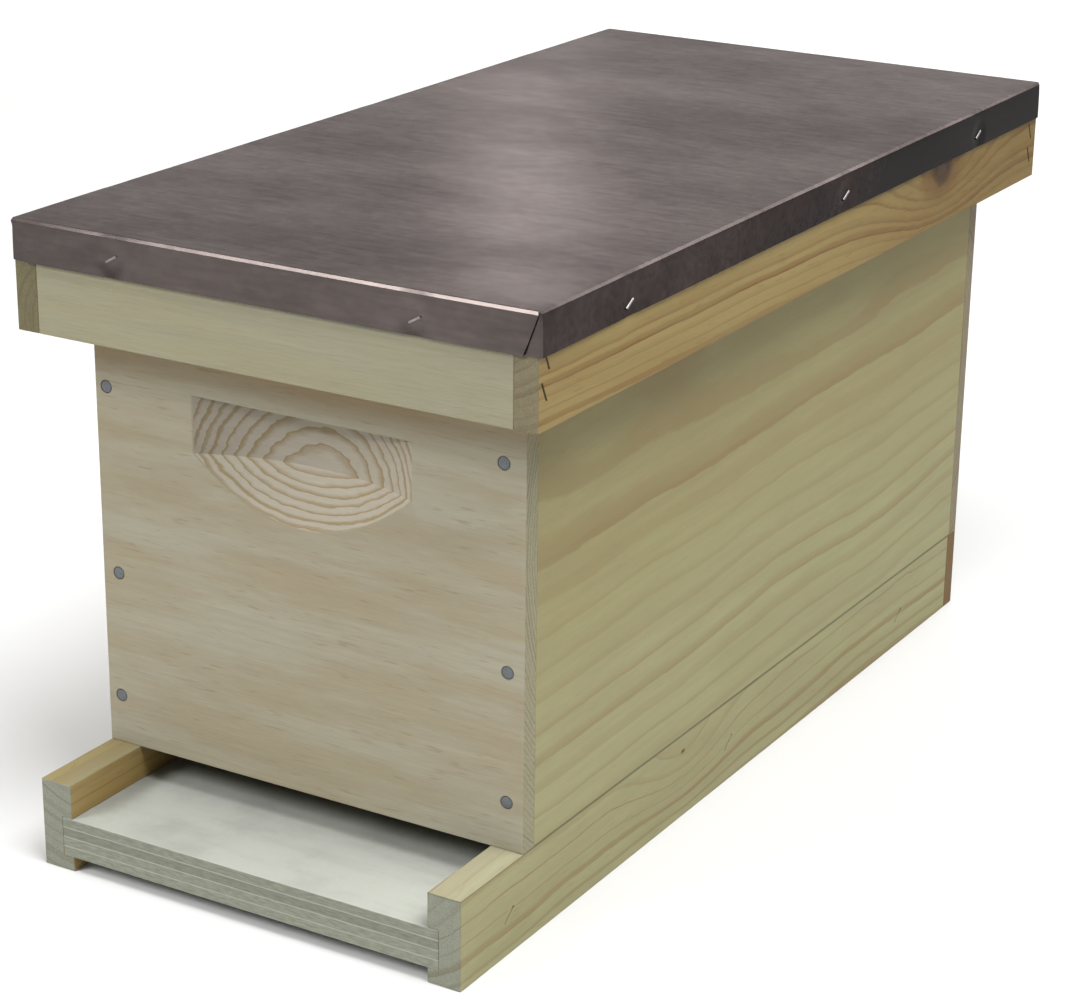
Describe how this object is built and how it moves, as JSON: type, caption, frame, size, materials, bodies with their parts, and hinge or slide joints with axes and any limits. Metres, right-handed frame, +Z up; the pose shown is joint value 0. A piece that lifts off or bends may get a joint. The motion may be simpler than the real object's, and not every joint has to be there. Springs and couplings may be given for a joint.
{
  "type": "beehive",
  "caption": "Small wooden beehive: deep box on a grooved bottom board with a landing, hanging frames inside, inner cover and a telescoping lid clad in folded metal.",
  "frame": {"origin": "on the ground, under the middle of the whole hive", "axes": "+Z up; +Y from the entrance to the rear, along the hive's length; +X to the right when facing along +Y"},
  "size_m": [0.2878, 0.5878, 0.3175],
  "materials": {
    "body_pine": "bare planed pine",
    "rail_pine": "bare planed pine",
    "lid_pine": "bare planed pine, warm",
    "cleat_pine": "bare planed pine",
    "frame_pine": "bare planed pine",
    "plywood": "bare plywood, grey white",
    "foundation_wax": "waxed comb foundation",
    "galvanised_sheet": "dull galvanised steel sheet",
    "nail_steel": "dull steel wire nail",
    "staple_wire": "bright steel wire"
  },
  "bodies": {
    "bottom_board": {"bottom_floor": "plywood", "bottom_left_rail": "rail_pine", "bottom_rear_rail": "rail_pine", "bottom_right_rail": "rail_pine", "bottom_staples": "staple_wire"},
    "hive_body": {"body_front_board": "body_pine", "body_front_nails": "nail_steel", "body_left_side": "body_pine", "body_rear_board": "body_pine", "body_rear_nails": "nail_steel", "body_right_side": "body_pine"},
    "frame_1": {"frame_1_bottom_bar": "frame_pine", "frame_1_foundation": "foundation_wax", "frame_1_front_end_bar": "frame_pine", "frame_1_nails": "nail_steel", "frame_1_rear_end_bar": "frame_pine", "frame_1_top_bar": "frame_pine"},
    "frame_2": {"frame_2_bottom_bar": "frame_pine", "frame_2_foundation": "foundation_wax", "frame_2_front_end_bar": "frame_pine", "frame_2_nails": "nail_steel", "frame_2_rear_end_bar": "frame_pine", "frame_2_top_bar": "frame_pine"},
    "frame_3": {"frame_3_bottom_bar": "frame_pine", "frame_3_foundation": "foundation_wax", "frame_3_front_end_bar": "frame_pine", "frame_3_nails": "nail_steel", "frame_3_rear_end_bar": "frame_pine", "frame_3_top_bar": "frame_pine"},
    "frame_4": {"frame_4_bottom_bar": "frame_pine", "frame_4_foundation": "foundation_wax", "frame_4_front_end_bar": "frame_pine", "frame_4_nails": "nail_steel", "frame_4_rear_end_bar": "frame_pine", "frame_4_top_bar": "frame_pine"},
    "frame_5": {"frame_5_bottom_bar": "frame_pine", "frame_5_foundation": "foundation_wax", "frame_5_front_end_bar": "frame_pine", "frame_5_nails": "nail_steel", "frame_5_rear_end_bar": "frame_pine", "frame_5_top_bar": "frame_pine"},
    "inner_cover": {"cover_front_cleat": "cleat_pine", "cover_left_cleat": "cleat_pine", "cover_panel": "plywood", "cover_rear_cleat": "cleat_pine", "cover_right_cleat": "cleat_pine", "cover_staples": "staple_wire"},
    "lid": {"lid_board_nails": "nail_steel", "lid_corner_staples": "staple_wire", "lid_front_rail": "lid_pine", "lid_left_rail": "lid_pine", "lid_rear_rail": "lid_pine", "lid_right_rail": "lid_pine", "lid_top_board": "plywood", "metal_cover": "galvanised_sheet", "metal_cover_staples": "staple_wire"}
  },
  "joints": [
    {"name": "body_lift", "type": "slide", "parent": "bottom_board", "child": "hive_body", "axis": [0, 0, 1], "range_m": [0, 0.3]},
    {"name": "lid_lift", "type": "slide", "parent": "hive_body", "child": "lid", "axis": [0, 0, 1], "range_m": [0, 0.45]},
    {"name": "inner_cover_lift", "type": "slide", "parent": "hive_body", "child": "inner_cover", "axis": [0, 0, 1], "range_m": [0, 0.324]},
    {"name": "frame_1_lift", "type": "slide", "parent": "hive_body", "child": "frame_1", "axis": [0, 0, 1], "range_m": [0, 0.252]},
    {"name": "frame_2_lift", "type": "slide", "parent": "hive_body", "child": "frame_2", "axis": [0, 0, 1], "range_m": [0, 0.252]},
    {"name": "frame_3_lift", "type": "slide", "parent": "hive_body", "child": "frame_3", "axis": [0, 0, 1], "range_m": [0, 0.252]},
    {"name": "frame_4_lift", "type": "slide", "parent": "hive_body", "child": "frame_4", "axis": [0, 0, 1], "range_m": [0, 0.252]},
    {"name": "frame_5_lift", "type": "slide", "parent": "hive_body", "child": "frame_5", "axis": [0, 0, 1], "range_m": [0, 0.252]}
  ],
  "couplings": [
    {"joint": "inner_cover_lift", "follows": "lid_lift", "ratio": 0.72},
    {"joint": "frame_1_lift", "follows": "lid_lift", "ratio": 0.56},
    {"joint": "frame_2_lift", "follows": "lid_lift", "ratio": 0.56},
    {"joint": "frame_3_lift", "follows": "lid_lift", "ratio": 0.56},
    {"joint": "frame_4_lift", "follows": "lid_lift", "ratio": 0.56},
    {"joint": "frame_5_lift", "follows": "lid_lift", "ratio": 0.56}
  ]
}
